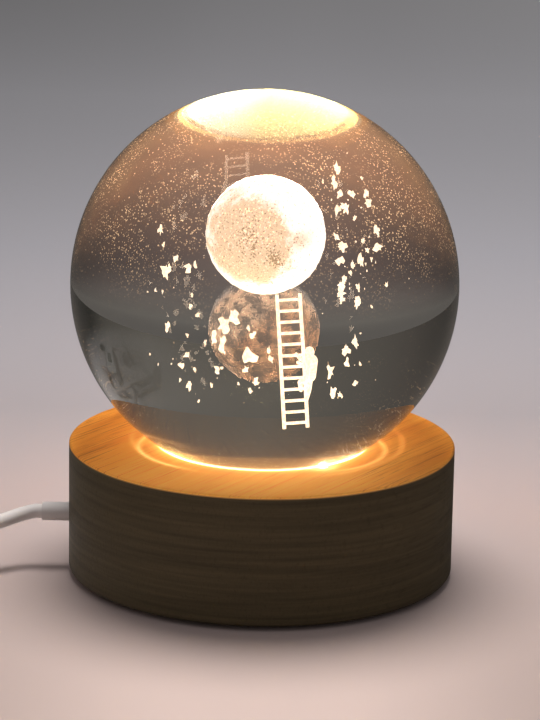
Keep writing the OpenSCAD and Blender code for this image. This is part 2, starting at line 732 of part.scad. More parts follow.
// The rocker rests tilted, with its end nearer the lamp up
module rocker() {
  color([0.2, 0.2, 0.21]) at_switch() translate([0, 0, pin_z]) rotate([0, -rocker_tilt, 0]) difference() {
    translate([0, rocker_w / 2, 0]) rotate([90, 0, 0]) linear_extrude(rocker_w)
      polygon([[-rocker_l / 2, rocker_top], [-rocker_l / 2 + 0.2, 0.6], [-2.2, -rocker_under],
        [2.2, -rocker_under], [rocker_l / 2 - 0.2, 0.6], [rocker_l / 2, rocker_top], [0, rocker_dip]]);
    translate([0, rocker_w, 0]) rotate([90, 0, 0]) cylinder(d = pin_d + 2 * fit, h = 2 * rocker_w);
  }
}

module contact_bridge() {
  color([0.83, 0.66, 0.3]) at_switch() translate([0, 0, pin_z]) rotate([0, -rocker_tilt, 0])
    translate([-bridge_l / 2, -1.2, -rocker_under - bridge_t]) cube([bridge_l, 2.4, bridge_t]);
}

// The plug, which points away from the lamp

shell_hold = 4;
shell_corner = 0.6;
shell_bore_corner = shell_corner - shell_wall / 2;
tongue_h = 1.9;
contact_t = 0.2;

module at_plug() {
  translate([plug_pos[0], plug_pos[1], plug_z]) rotate(180) children();
}

// A bar along X with a round-cornered section, from x0 to x1
module section_x(x0, x1, w, h, r) {
  translate([x0, 0, 0]) rotate([90, 0, 90]) linear_extrude(x1 - x0) round_rect(w, h, r);
}

module plug_grip() {
  front = neck_l + grip_l;
  color([0.85, 0.84, 0.83]) at_plug() difference() {
    union() {
      rotate([0, 90, 0]) cylinder(d1 = lead_d + 1.6, d2 = lead_d + 3.4, h = neck_l + eps);
      section_x(neck_l, front, grip_w, grip_h, 2.4);
    }
    section_x(front - shell_hold, front + 1, shell_w + 2 * fit, shell_h + 2 * fit, shell_corner + fit);
  }
}

module plug_shell() {
  x0 = neck_l + grip_l - shell_hold;
  x1 = neck_l + grip_l + shell_l;
  color([0.75, 0.76, 0.78]) at_plug() difference() {
    section_x(x0, x1, shell_w, shell_h, shell_corner);
    section_x(x0 - 1, x1 + 1, shell_w - 2 * shell_wall, shell_h - 2 * shell_wall, shell_bore_corner);
    for (y = [-1, 1]) translate([x1 - 7.4, y * 2.9 - 1.1, -shell_h]) cube([2.4, 2.2, 2 * shell_h]);
  }
}

module plug_tongue() {
  x0 = neck_l + grip_l - shell_hold;
  x1 = neck_l + grip_l + shell_l - 0.6;
  w = shell_w - 2 * shell_wall - 2 * shell_bore_corner;
  z0 = shell_h / 2 - shell_wall - fit - tongue_h;
  color([0.95, 0.95, 0.93]) at_plug() translate([x0, -w / 2, z0]) cube([x1 - x0, w, tongue_h]);
}

module plug_contacts() {
  x1 = neck_l + grip_l + shell_l - 1.6;
  z0 = shell_h / 2 - shell_wall - fit - tongue_h - contact_t;
  color([0.83, 0.66, 0.3]) at_plug() for (i = [0 : 3])
    translate([x1 - 8, (i - 1.5) * 2.3 - 0.5, z0]) cube([8, 1, contact_t]);
}

wood_base();
light_window();
reflector_ring();
light_board();
led_chips();
resistors();
solder_joints();
board_screws();
wire_red();
wire_black();
inner_lead();
inner_lead_tie();
strain_relief();
bottom_cover();
cover_screws();
rubber_feet();
crystal_ball();
engraved_moon();
engraved_ladder();
engraved_climber();
engraved_stars();
lead_from_lamp();
lead_coil_lower();
lead_to_switch();
switch_lower_shell();
switch_upper_shell();
switch_screws();
switch_contacts();
switch_lead_ends();
rocker_pin();
rocker();
contact_bridge();
lead_from_switch();
lead_coil_upper();
coil_ties();
lead_to_plug();
plug_grip();
plug_shell();
plug_tongue();
plug_contacts();
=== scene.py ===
# %% [markdown]
# # A crystal ball lamp
# The lamp is a solid glass ball on a turned wooden base. A moon, a ladder, a climber and
# stars are engraved inside the glass, and a light in the base shines up into them. The
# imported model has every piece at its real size. This lesson gives those pieces their
# finish, and makes new ones where the plain solid isn't smooth or rich enough.

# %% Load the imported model
import math
import random

import bmesh
import bpy
from mathutils import Matrix, Vector, noise


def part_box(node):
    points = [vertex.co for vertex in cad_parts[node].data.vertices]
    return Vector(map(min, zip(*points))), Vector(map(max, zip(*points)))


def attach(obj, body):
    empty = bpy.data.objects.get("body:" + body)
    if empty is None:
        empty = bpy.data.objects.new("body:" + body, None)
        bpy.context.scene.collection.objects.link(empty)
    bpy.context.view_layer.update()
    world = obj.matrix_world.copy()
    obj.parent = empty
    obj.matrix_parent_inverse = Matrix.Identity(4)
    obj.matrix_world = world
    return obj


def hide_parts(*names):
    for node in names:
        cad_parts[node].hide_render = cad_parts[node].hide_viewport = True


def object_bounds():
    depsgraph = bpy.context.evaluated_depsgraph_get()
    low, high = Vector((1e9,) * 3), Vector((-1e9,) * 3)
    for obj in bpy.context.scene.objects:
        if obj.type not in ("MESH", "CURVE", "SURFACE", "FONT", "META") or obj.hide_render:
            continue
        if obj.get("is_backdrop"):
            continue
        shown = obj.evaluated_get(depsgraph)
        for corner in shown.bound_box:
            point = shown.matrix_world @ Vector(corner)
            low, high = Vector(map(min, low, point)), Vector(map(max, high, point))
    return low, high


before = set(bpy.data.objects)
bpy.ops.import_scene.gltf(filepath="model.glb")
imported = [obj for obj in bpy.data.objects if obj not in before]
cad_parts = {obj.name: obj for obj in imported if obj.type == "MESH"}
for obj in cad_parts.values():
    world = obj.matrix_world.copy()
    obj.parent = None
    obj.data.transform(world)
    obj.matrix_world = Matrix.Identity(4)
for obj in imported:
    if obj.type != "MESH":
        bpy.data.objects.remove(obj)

scene = bpy.context.scene
scene.view_settings.view_transform = "Standard"
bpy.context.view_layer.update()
MM = 0.001

# %% [markdown]
# ## The camera
# A picture of a round thing tells much about its camera. The ball's outline gives the
# distance, and the ellipse of the base's top gives the height. A long lens from about 60 cm
# away and 13 degrees up fits both, with the camera turned by one degree.

# %% Place the camera
camera_data = bpy.data.cameras.new("camera")
camera_data.lens = 150
camera_data.sensor_width = 36
camera_data.clip_start = 0.05
camera = bpy.data.objects.new("camera", camera_data)
camera.location = (0, -0.60204, 0.20107)
camera.rotation_euler = [math.radians(a) for a in (75.496, -1.012, 0.133)]
scene.collection.objects.link(camera)
scene.camera = camera
print("camera is", round(camera.location.length * 1000), "mm from the foot of the lamp")

# %% [markdown]
# ## The lead
# The lead is a fixed length of soft plastic, so its route comes before its shape. It leaves
# a short sleeve on the left of the base, drops to the table and is wound into a round coil
# that two bands hold. Half way along it has a rocker switch, and it ends in a USB plug.
# The coil spirals in along one layer and out along the next, as a person winds it. The
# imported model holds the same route, so every point here is repeated from there.

# %% The route, in millimetres
LEAD_D = 3.0
COIL_CENTRE = (-88, -26)
COIL_MIDDLE_R = 18
COIL_STEP = 3.6
COIL_Z = 2.2
LOWER_TURNS, LOWER_START = 2.375, 90
UPPER_TURNS, UPPER_START = 2.1875, 225
COIL_OUT_R = COIL_MIDDLE_R + LOWER_TURNS * COIL_STEP / 2


def coil_point(t, turns, start, layer):
    """A point on a coil, t turns from its start, with so many turns to each of its two layers."""
    angle = math.radians(start + 360 * t)
    radius = COIL_OUT_R - COIL_STEP * (turns - abs(t - turns))
    u = min(max((t - turns) * 2 + 0.5, 0), 1)
    climb = u * u * (3 - 2 * u)
    return Vector((COIL_CENTRE[0] + radius * math.cos(angle),
                   COIL_CENTRE[1] + radius * math.sin(angle),
                   COIL_Z + COIL_STEP * (layer + climb)))


def coil_points(turns, start, layer, points_per_turn=36):
    """The whole coil, with a straight end of two leads' thickness at each side."""
    steps = math.ceil(2 * turns * points_per_turn)
    points = [coil_point(2 * turns * i / steps, turns, start, layer) for i in range(steps + 1)]
    first, last = math.radians(start), math.radians(start + 720 * turns)
    into = Vector((-math.sin(first), math.cos(first), 0)) * LEAD_D
    out = Vector((-math.sin(last), math.cos(last), 0)) * LEAD_D
    return ([points[0] - into * 2, points[0] - into] + points
            + [points[-1] + out, points[-1] + out * 2])


lower_coil = coil_points(LOWER_TURNS, LOWER_START, 0)
upper_coil = coil_points(UPPER_TURNS, UPPER_START, 2)
from_lamp = [
    (-45.9, 0, 11.75), (-47.4, 0, 11.75), (-49.3, -0.5, 11.4), (-51, -1.4, 11.1),
    (-52.7, -2.7, 10.8), (-54.4, -4.2, 10.6), (-56.8, -5.7, 10.1), (-60, -6.7, 9.1),
    (-63.5, -7, 7.6), (-67, -6.8, 6.1), (-70.8, -6, 4.6), (-74.5, -5, 3.4), (-78.5, -4.1, 2.5)]
to_switch = [
    (-65.9, -16, 5), (-66, -11.5, 3.1), (-66, -6.5, 1.9), (-66, -1.5, 1.6), (-66.3, 3.5, 1.7),
    (-68.2, 8, 2.3), (-71.8, 11, 3.5), (-76, 12, 4.8), (-79, 12, 4.8)]
from_switch = [
    (-115, 12, 4.8), (-118, 12, 4.8), (-123, 10.7, 4.2), (-126.7, 7, 3), (-128, 2, 2),
    (-127.8, -4, 1.6), (-126.8, -10, 1.8), (-125, -16, 2.6), (-122.4, -21.8, 3.9),
    (-119, -26.8, 5.4), (-115.2, -31, 7), (-111.4, -34.6, 8.5)]
to_plug = [
    (-65.9, -15.5, 12.5), (-66, -11, 11.7), (-66, -6.5, 10.7), (-66, -2, 9.6), (-66, 3, 8.3),
    (-66, 8, 6.9), (-66, 13, 5.7), (-66, 18, 4.8), (-67, 23.2, 4.2), (-70, 27.6, 4),
    (-74, 30, 4), (-77, 30, 4)]
print("the coils have", len(lower_coil), "and", len(upper_coil), "points")

# %% [markdown]
# A curve with a round bevel is the plainest way to make a lead. The route's points are far
# apart, so a smooth curve is laid through them first, and the spline then follows that.

# %% Lay the two halves of the lead


def smooth_through(points, step=1.2):
    """Points on a smooth curve through the given ones, about one step apart."""
    points = [Vector(p) for p in points]
    ends = [points[0] * 2 - points[1]] + points + [points[-1] * 2 - points[-2]]
    out = []
    for a, b, c, d in zip(ends, ends[1:], ends[2:], ends[3:]):
        count = max(1, round((c - b).length / step))
        for i in range(count):
            t = i / count
            out.append(0.5 * (2 * b + (c - a) * t + (2 * a - 5 * b + 4 * c - d) * t * t
                              + (3 * b - a - 3 * c + d) * t ** 3))
    return out + [points[-1]]


def make_lead(name, route):
    """A round lead along a route, and its length in metres."""
    points = smooth_through(route)
    curve = bpy.data.curves.new(name, "CURVE")
    curve.dimensions = "3D"
    curve.bevel_depth = 1.0
    curve.bevel_resolution = 3
    curve.use_fill_caps = True
    spline = curve.splines.new("POLY")
    spline.points.add(len(points) - 1)
    for point, place in zip(spline.points, points):
        point.co = (*(place * MM), 1)
        point.radius = LEAD_D / 2 * MM
    piece = bpy.data.objects.new(name, curve)
    scene.collection.objects.link(piece)
    length = sum((b - a).length for a, b in zip(points, points[1:])) * MM
    print(name, "is", round(length, 3), "m long in", len(points), "points")
    return piece, length


lead_a, length_a = make_lead("lead_lamp_to_switch", from_lamp + lower_coil + to_switch)
lead_b, length_b = make_lead("lead_switch_to_plug", from_switch + upper_coil + to_plug)
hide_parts("lead_from_lamp", "lead_coil_lower", "lead_to_switch")
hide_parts("lead_from_switch", "lead_coil_upper", "lead_to_plug")
for lead in (lead_a, lead_b):
    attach(lead, "base")

# %% [markdown]
# ## Shader maths that reads as maths
# A procedural finish is a lot of small sums. One class wraps a socket so that + and * add
# the Math nodes by themselves, and one method makes any other node: its settings first,
# then the values or links of its sockets.

# %% A socket that sums work on


class Wire:
    """An output socket that ordinary arithmetic works on."""

    def __init__(self, tree, socket):
        self.tree, self.socket = tree, socket

    def _sum(self, operation, a, b=0.0):
        return self.tree.node("Math", {"operation": operation}, {0: a, 1: b})

    def __add__(self, other):
        return self._sum("ADD", self, other)

    def __sub__(self, other):
        return self._sum("SUBTRACT", self, other)

    def __rsub__(self, other):
        return self._sum("SUBTRACT", other, self)

    def __mul__(self, other):
        return self._sum("MULTIPLY", self, other)

    def __truediv__(self, other):
        return self._sum("DIVIDE", self, other)

    def __pow__(self, other):
        return self._sum("POWER", self, other)

    def __neg__(self):
        return self._sum("MULTIPLY", self, -1.0)

    def __abs__(self):
        return self._sum("ABSOLUTE", self)

    __radd__ = __add__
    __rmul__ = __mul__

    def exp(self):
        return self._sum("EXPONENT", self)


def fade(distance, reach):
    """Light that dies away: 1 at no distance, and about a third at its reach."""
    return (-(distance / reach)).exp()


def bell(distance, width):
    """A soft hump: 1 at no distance, and about a third at its width to either side."""
    return (-((distance / width) ** 2.0)).exp()


# %% A tree of nodes


class Tree:
    """A node tree under construction."""

    def __init__(self, tree):
        self.tree = tree
        tree.nodes.clear()

    def feed(self, socket, value):
        if isinstance(value, Wire):
            self.tree.links.new(value.socket, socket)
        elif socket.type == "RGBA" and len(value) == 3:
            socket.default_value = (*value, 1)
        else:
            socket.default_value = value

    def node(self, kind, settings=None, inputs=None, output=0):
        """Any node: its settings are set first, then what its sockets hold or are linked to."""
        made = self.tree.nodes.new("ShaderNode" + kind)
        for key, value in (settings or {}).items():
            if key == "stops":
                for element, (position, colour) in zip(self._elements(made, len(value)), value):
                    element.position, element.color = position, (*colour, 1)
            else:
                setattr(made, key, value)
        for key, value in (inputs or {}).items():
            self.feed(made.inputs[key], value)
        return Wire(self, made.outputs[output])

    def _elements(self, ramp, count):
        elements = ramp.color_ramp.elements
        while len(elements) < count:
            elements.new(1.0)
        return elements

    def larger(self, first, second):
        return self.node("Math", {"operation": "MAXIMUM"}, {0: first, 1: second})

    def ray(self, kind):
        """1 for rays of one kind, such as "Is Glossy Ray", and 0 for all others."""
        return self.node("LightPath", output=kind)

    def mix(self, factor, a, b, way="MIX"):
        """Colour a, with b laid over it, added to it or multiplied with it."""
        return self.node("Mix", {"data_type": "RGBA", "blend_type": way},
                         {0: factor, 6: a, 7: b}, 2)

    def glow(self, colour, strength):
        """A colour times a number, which may go past 1."""
        return self.node("VectorMath", {"operation": "SCALE"}, {0: colour, "Scale": strength})

    def ramp(self, value, *stops):
        return self.node("ValToRGB", {"stops": stops}, {"Fac": value})

    def between(self, value, low, high, way="SMOOTHSTEP"):
        """0 below low, 1 above high, and a smooth step from one to the other."""
        return self.node("MapRange", {"interpolation_type": way},
                         {"Value": value, "From Min": low, "From Max": high})

    def place(self, scale=(1, 1, 1), turn=0.0):
        """The point on the object, in millimetres, turned about Z and then stretched."""
        point = self.node("TexCoord", output="Object")
        turned = self.node("Mapping", None,
                           {"Vector": point, "Rotation": (0, 0, math.radians(turn))})
        return self.node("VectorMath", {"operation": "MULTIPLY"},
                         {0: turned, 1: tuple(1000 * s for s in scale)})

    def axis(self, vector, name):
        return self.node("SeparateXYZ", None, {0: vector}, "XYZ".index(name))

    def grain(self, vector, scale, detail=2.0, roughness=0.5):
        """Noise, with as many lumps to a millimetre as the scale says."""
        return self.node("TexNoise", None, {"Vector": vector, "Scale": scale, "Detail": detail,
                                            "Roughness": roughness})

    def bump(self, height, depth, **others):
        """A normal from a height, with a depth in millimetres."""
        return self.node("Bump", None, {"Height": height, "Distance": depth * MM, **others})


# %% A material, and a colour


class Finish(Tree):
    """A material under construction."""

    def __init__(self, name):
        self.material = bpy.data.materials.new(name)
        self.material.use_nodes = True
        super().__init__(self.material.node_tree)
        self.shader = self.tree.nodes.new("ShaderNodeBsdfPrincipled")
        self.output = self.tree.nodes.new("ShaderNodeOutputMaterial")
        self.tree.links.new(self.shader.outputs[0], self.output.inputs["Surface"])

    def surface(self, **sockets):
        """Sets sockets of the main shader by name, with _ for a space."""
        for key, value in sockets.items():
            self.feed(self.shader.inputs[key.replace("_", " ")], value)


def srgb(*picture_values):
    """A colour as a picture file holds it, from 0 to 255, in the linear values of shaders."""
    return tuple(c / 255 / 12.92 if c <= 10 else ((c / 255 + 0.055) / 1.055) ** 2.4
                 for c in picture_values)


def tell(*finishes):
    """Says how many nodes each finish took."""
    for finish in finishes:
        print(finish.name, "has", len(finish.node_tree.nodes), "nodes")


# %% [markdown]
# ## Wood
# The base is one block of wood, pale honey on top and stained dark round the side. Real
# grain is long fibres, so the noise is stretched along one direction, which runs through
# the whole block. The dark side starts just under the top edge, and its faint lines run
# level. A few sizes of the ball are measured first, because the light on the wood depends
# on where the ball meets it.

# %% Where the ball meets the wood
WOOD_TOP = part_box("wood_base")[1].z / MM
BALL_LOW, BALL_HIGH = (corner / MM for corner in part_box("crystal_ball"))
BALL_R = 40.0
BALL_Z = BALL_HIGH.z - BALL_R
FLAT_Z = BALL_LOW.z
SEAT_GAP = 0.3
SEAT_R = math.sqrt(BALL_R ** 2 - (BALL_Z - WOOD_TOP) ** 2) + SEAT_GAP
print("wood top", round(WOOD_TOP, 2), "ball middle", round(BALL_Z, 2), "flat", round(FLAT_Z, 2),
      "seat radius", round(SEAT_R, 2))

# %% The wood's finish
GRAIN_TURN = -57


def make_wood():
    f = Finish("wood")
    point = f.place()
    x, y, z = (f.axis(point, name) for name in "XYZ")
    broad = f.grain(f.place((0.02, 0.3, 0.3), GRAIN_TURN), 1.0, 2.0)
    fibre = f.grain(f.place((0.05, 2.4, 1.2), GRAIN_TURN), 1.0, 4.0, 0.65)
    lines = f.grain(f.place((0.045, 3.2, 0.9), GRAIN_TURN), 1.0, 3.0, 0.7)
    lines = f.between(lines, 0.56, 0.62)
    honey = f.ramp(broad, (0.3, srgb(236, 144, 40)), (0.5, srgb(246, 160, 50)),
                   (0.7, srgb(252, 174, 68)))
    honey = f.mix(lines * 0.75, honey, srgb(170, 88, 22))
    honey = f.mix(f.between(fibre, 0.4, 0.7) * 0.3, honey, srgb(248, 182, 92))
    # Painted shade: the honey top is darker towards +X.
    honey = f.glow(honey, 1.0 - f.between(x, 5, 38) * 0.22)
    flow = f.grain(f.place((0.03, 0.03, 0.9)), 1.0, 4.0, 0.6)
    dark = f.ramp(flow, (0.3, srgb(72, 61, 40)), (0.55, srgb(86, 74, 50)),
                  (0.75, srgb(96, 82, 56)))
    dark = f.mix(f.between(fibre, 0.5, 0.75) * 0.3, dark, srgb(48, 39, 24))
    top = f.between(z, WOOD_TOP - 0.5, WOOD_TOP - 0.3)
    height = fibre * 0.6 + flow * 0.4
    f.surface(Base_Color=f.mix(top, dark, honey), Roughness=0.55 + fibre * 0.2,
              Specular_IOR_Level=0.3, Normal=f.bump(height, 0.05),
              Emission_Color=light_on_wood(f, x, y, z), Emission_Strength=6.0)
    return f.material


# %% [markdown]
# The ball's foot throws light on the wood: a bright rim, soft light that dies away, two
# faint arcs on each side and one star-like glint at the front. Light that comes through
# matt glass takes many samples to render, so these are painted as light of the wood's own.

# %% The light on the wood
GLINT = (12.3, -18.5)
ARC_WIDTH = 0.7


def length_of(*sides):
    """The length of a line, from how far it goes along each axis."""
    return sum(side ** 2.0 for side in sides) ** 0.5


def arc_of_light(across, back, radius):
    """A thin soft circle of light about a point, from the distances to that point."""
    return bell(length_of(across, back) - radius, ARC_WIDTH)


def light_on_wood(f, x, y, z):
    above = f.between(z, WOOD_TOP - 0.7, WOOD_TOP - 0.5)
    out = f.larger(length_of(x, y) - SEAT_R, 0.0)
    rim = f.between(out, 0.2, 0.05) * 0.35
    spread = fade(out, 1.4) * 0.12 + fade(out, 9.0) * 0.045
    front = bell(y + 30.0, 14.0) * bell(x, 30.0) * 0.05
    outer = arc_of_light(x - 1.1, y - 1.0, 28.3) * f.between(abs(x), 6, 20) * 0.035
    inner = arc_of_light(abs(x) - 7.8, y + 5.3, 17.7) * f.between(abs(x), 12, 20) * 0.09
    arcs = (outer + inner) * f.between(y, 16, 0)
    away = length_of(x - GLINT[0], y - GLINT[1])
    glint = f.between(away, 1.3, 0.4) * 1.2 + fade(away, 1.7) * 0.4
    total = (rim + spread + front + arcs + glint) * above
    return f.ramp(total, (0.0, (0, 0, 0)), (0.12, (0.12, 0.054, 0.014)),
                  (0.4, (0.4, 0.27, 0.11)), (1.0, (1.0, 0.86, 0.6)))


wood = make_wood()
tell(wood)

# %% [markdown]
# ## Glass
# The ball is clear and polished, with a flat ground on its bottom that was left matt. A
# matt surface scatters what comes through it, so the flat is the part that glows, as painted
# light. Dust and tiny flakes of the engraving glow with painted light near the top of the
# ball, and the foot has a painted gleam, band, line and glint. A darker Specular Tint holds
# back the reflections, because a real ball in a dim room shows few of them.

# %% The clear glass
GLASS_IOR = 1.52


def make_clear_glass():
    f = Finish("clear_glass")
    point = f.place()
    smears = f.between(f.grain(point, 0.12, 3.0), 0.55, 0.9)
    # Painted light: glowing dust, an orange gleam and a warm band just over the wood, a bright
    # line where the glass meets it, and the glint.
    light = f.mix(1.0, dust_with_painted_glow(f, point), gleam_at_foot(f, point), "ADD")
    z = f.axis(point, "Z")
    light = f.mix(f.between(z, WOOD_TOP + 0.5, WOOD_TOP + 0.2), light, (1.5, 1.15, 0.6))
    light = f.mix(f.between(z, WOOD_TOP + 0.05, WOOD_TOP - 0.1), light, (6.0, 3.7, 1.0))
    light = f.mix(1.0, light, glint_at_foot(f, point), "ADD")
    f.surface(Base_Color=(1, 1, 1), Roughness=smears * 0.02, IOR=GLASS_IOR,
              Specular_Tint=(0.4, 0.4, 0.4), Transmission_Weight=1.0, Emission_Color=light,
              Emission_Strength=1.0)
    return f.material


def speckle(f, point, scale, size):
    """Scattered dots of many sizes, up to the given share of a cell."""
    cells = f.node("TexVoronoi", None, {"Vector": point, "Scale": scale})
    sizes = f.grain(point, scale * 0.9, 0.0)
    return f.between(cells / (sizes * size * 2.0), 1.0, 0.6)


def dust_with_painted_glow(f, point):
    """Fine dust in patches and coarser dust between them, more of it towards the top, glowing
    with painted warm light.
    """
    high = f.between(f.axis(point, "Z"), BALL_Z - 2, BALL_Z + 28)
    patches = f.between(f.grain(point, 0.1, 3.0), 0.4, 0.65)
    fine = speckle(f, point, 2.0, 0.29) * patches
    coarse = speckle(f, point, 1.0, 0.14)
    return f.mix((fine * 1.1 + coarse * 1.2) * high, (0, 0, 0), (1.15, 0.72, 0.38))


def gleam_at_foot(f, point):
    """An orange crescent just over the wood, highest in the middle and brightest at its ends."""
    x, low = f.axis(point, "X"), f.larger(f.axis(point, "Z") - WOOD_TOP, 0.0)
    edge = 4.8 - x * x * 0.0065
    lobes = bell(abs(x) - 18.5, 5.0) * 0.75 + 0.25
    strength = f.between(edge - low, 0.0, 1.2) * (1.1 - low * 0.12) * lobes
    return f.mix(strength, (0, 0, 0), (1.0, 0.42, 0.1))


def glint_at_foot(f, point):
    """The other half of the glint on the wood, where the glass touches it."""
    x, y, z = (f.axis(point, name) for name in "XYZ")
    away = length_of(x - GLINT[0], y - GLINT[1], z - WOOD_TOP - 0.5)
    return f.glow((4.0, 3.0, 1.9), f.between(away, 1.3, 0.5) + fade(away, 1.5) * 0.35)


# %% The ground glass


def make_ground_glass():
    """Matt glass that the light behind it makes bright, whiter on one side than on the other."""
    f = Finish("ground_glass")
    point = f.place()
    x = f.axis(point, "X")
    rough = f.grain(point, 6.0, 3.0)
    whiter = f.between(x + f.grain(point, 0.1) * 6.0, 1.0, 12.0)
    # The flat's glow is painted light: an emission, whiter towards +X.
    f.surface(Base_Color=(1, 1, 1), Roughness=0.8, IOR=GLASS_IOR, Transmission_Weight=1.0,
              Normal=f.bump(rough, 0.02), Emission_Strength=14.0,
              Emission_Color=f.mix(whiter, (1.0, 0.8, 0.2), (1.0, 0.92, 0.6)))
    haze = f.node("BsdfTranslucent", None, {"Color": (1, 1, 1)})
    both = f.node("MixShader", None, {0: 0.5, 1: Wire(f, f.shader.outputs[0]), 2: haze})
    f.feed(f.output.inputs["Surface"], both)
    return f.material


clear_glass, ground_glass = make_clear_glass(), make_ground_glass()
tell(clear_glass, ground_glass)

# %% [markdown]
# The engraving is a cloud of tiny cracks that the light in the base makes white, so it gets
# a painted light of its own. The moon has a dark sea of uneven outline, with a smaller one
# beside it, and specks where there are fewer cracks. The ball's back wall mirrors the moon's
# back as a second, fainter moon, so all backs are painted much brighter than the fronts; this
# is a painted reflection.

# %% The moon's finish
moon_low, moon_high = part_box("engraved_moon")
moon_middle, moon_r = (moon_low + moon_high) / 2, (moon_high.z - moon_low.z) / 2


def make_moon():
    f = Finish("moon_white")
    point = f.place()
    x, y, z = (f.axis(point, name) - middle / MM for name, middle in zip("XYZ", moon_middle))
    ragged = f.grain(point, 0.5, 4.0, 0.7) * 5.0
    left_sea = length_of(x + 2.2, z - 0.6) + ragged
    right_sea = length_of(x - 4.8, (z - 1.2) * 1.3) + ragged * 0.6
    sea = f.larger(f.between(left_sea, 9.6, 7.8), f.between(right_sea, 4.6, 1.6) * 0.75)
    grains = f.grain(point, 3.4, 1.5, 0.7)
    middle_spot = length_of((x - 0.9 + z * 0.45) * 1.7, (z + 1.4) * 0.8) + ragged * 0.5
    left_spot = length_of(x + 2.4, (z - 1.4) * 0.7) + ragged * 0.5
    dark = (f.between(middle_spot, 4.2, 1.2) * 0.17 + f.between(right_sea, 3.2, 1.4) * 0.08
            + f.between(left_spot, 4.0, 1.6) * 0.07)
    specks = f.between(grains + dark * sea + sea * 0.03, 0.63, 0.7)
    light = f.mix(sea, (1.35, 1.2, 1.05), (0.95, 0.65, 0.41))
    light = f.mix(f.between(grains, 0.42, 0.3) * sea * 0.8, light, (1.4, 1.15, 0.9))
    light = f.mix(specks * 0.9, light, (0.4, 0.21, 0.11))
    # Painted reflection: the back half is brighter and warmer, with blotches, for the moon's
    # mirror image in the ball's back wall.
    behind = f.between(y, 0.5, 4.0)
    blotches = f.between(f.grain(point, 0.7, 4.0, 0.7), 0.38, 0.62)
    light = f.mix(behind, light, f.glow(light, 5.0 + blotches * 26.0))
    light = f.mix(behind, light, (1.0, 0.64, 0.4), "MULTIPLY")
    f.surface(Base_Color=(0.1, 0.08, 0.06), Roughness=0.9, Emission_Color=light,
              Emission_Strength=1.0)
    return f.material


moon_white = make_moon()
tell(moon_white)

# %% The other figures' finishes
BACK_BOOST = 6.0


def make_engraving(name, low, high, strength):
    """White lines and flakes, a little brighter where there are more cracks, and painted much
    brighter on faces turned to the back, as a painted reflection in the ball's back wall.
    """
    f = Finish(name)
    cracks = f.between(f.grain(f.place(), 2.6, 3.0, 0.7), 0.35, 0.65)
    # Painted reflection: faces turned to the back glow up to seven times as bright.
    back = f.between(f.axis(f.node("NewGeometry", output="Normal"), "Y"), 0.2, 0.6)
    colour = f.glow(f.mix(cracks, low, high), back * BACK_BOOST + 1.0)
    f.surface(Base_Color=(0.15, 0.12, 0.1), Roughness=0.9, Emission_Color=colour,
              Emission_Strength=strength)
    return f.material


line_white = make_engraving("line_white", (1.0, 0.66, 0.42), (1.0, 0.84, 0.64), 1.5)
faint_white = make_engraving("faint_white", (0.2, 0.13, 0.08), (0.5, 0.36, 0.25), 0.7)
tell(line_white, faint_white)

# %% [markdown]
# ## The light
# The window is milky plastic over a ring of small lights. They don't light it evenly, so
# the glow is a little warmer in some places than in others.

# %% The window's finish


def make_window():
    f = Finish("window_glow")
    point = f.place()
    x = f.axis(point, "X")
    clouds = f.grain(f.place((0.09, 0.09, 0.0)), 1.0, 1.0)
    warm = f.between(x * 0.05 + clouds * 1.2, 0.1, 1.1)
    colour = f.mix(warm, (1.0, 0.95, 0.7), (1.0, 0.86, 0.44))
    f.surface(Base_Color=(0.9, 0.88, 0.8), Roughness=0.5, Emission_Color=colour,
              Emission_Strength=5.0)
    return f.material


window_glow = make_window()
tell(window_glow)

# %% [markdown]
# ## Plastics, rubber and metals
# Moulded plastic has a fine skin from its mould, and a drawn or turned metal has fine lines
# along one direction. Each recipe takes its colour, its roughness and the size of that
# texture. A Bevel node rounds the light on sharp edges without more faces.

# %% Recipes for plastic and metal


def plastic(name, colour, roughness, skin=1.5, depth=0.02, mottle=0.08, edge=0.2):
    """Moulded plastic. Skin is in lumps to a millimetre, depth and edge are in millimetres."""
    f = Finish(name)
    point = f.place()
    cloud = f.grain(point, 0.15, 3.0)
    darker = tuple(c * (1 - mottle * 2) for c in colour)
    rounded = f.node("Bevel", {"samples": 4}, {"Radius": edge * MM})
    f.surface(Base_Color=f.mix(cloud, darker, colour), Roughness=roughness + cloud * 0.12,
              Normal=f.bump(f.grain(point, skin), depth, Strength=0.6, Normal=rounded))
    return f.material


def metal(name, colour, roughness, stretch=(0.1, 3.0, 3.0)):
    """Drawn or turned metal. The smallest stretch is along its fine lines."""
    f = Finish(name)
    lines = f.grain(f.place(stretch), 1.0, 3.0)
    darker = tuple(c * 0.8 for c in colour)
    f.surface(Base_Color=f.mix(lines, darker, colour), Metallic=1.0,
              Roughness=roughness + lines * 0.15, Normal=f.bump(lines, 0.01))
    return f.material


# %% The small pieces' finishes
sheath = plastic("sheath", srgb(236, 228, 224), 0.35, 0.8, 0.03, 0.04)
sleeve = plastic("sleeve", srgb(228, 220, 216), 0.4, 1.0, 0.03, 0.05)
pale_band = plastic("pale_band", srgb(206, 202, 198), 0.5, 2.0, 0.03)
black_cover = plastic("black_cover", srgb(38, 38, 39), 0.5, 1.2, 0.05)
foot_rubber = plastic("foot_rubber", srgb(30, 30, 30), 0.7, 2.5, 0.04)
switch_white = plastic("switch_white", srgb(228, 226, 222), 0.3, 1.6, 0.02, 0.03, 0.35)
rocker_grey = plastic("rocker_grey", srgb(150, 149, 148), 0.35, 1.6, 0.02, 0.05, 0.35)
tongue_white = plastic("tongue_white", srgb(240, 240, 236), 0.4)
reflector_white = plastic("reflector_white", srgb(242, 241, 238), 0.5)
board_white = plastic("board_white", srgb(232, 232, 226), 0.3, 0.6)
chip_yellow = plastic("chip_yellow", srgb(250, 214, 120), 0.4, 3.0)
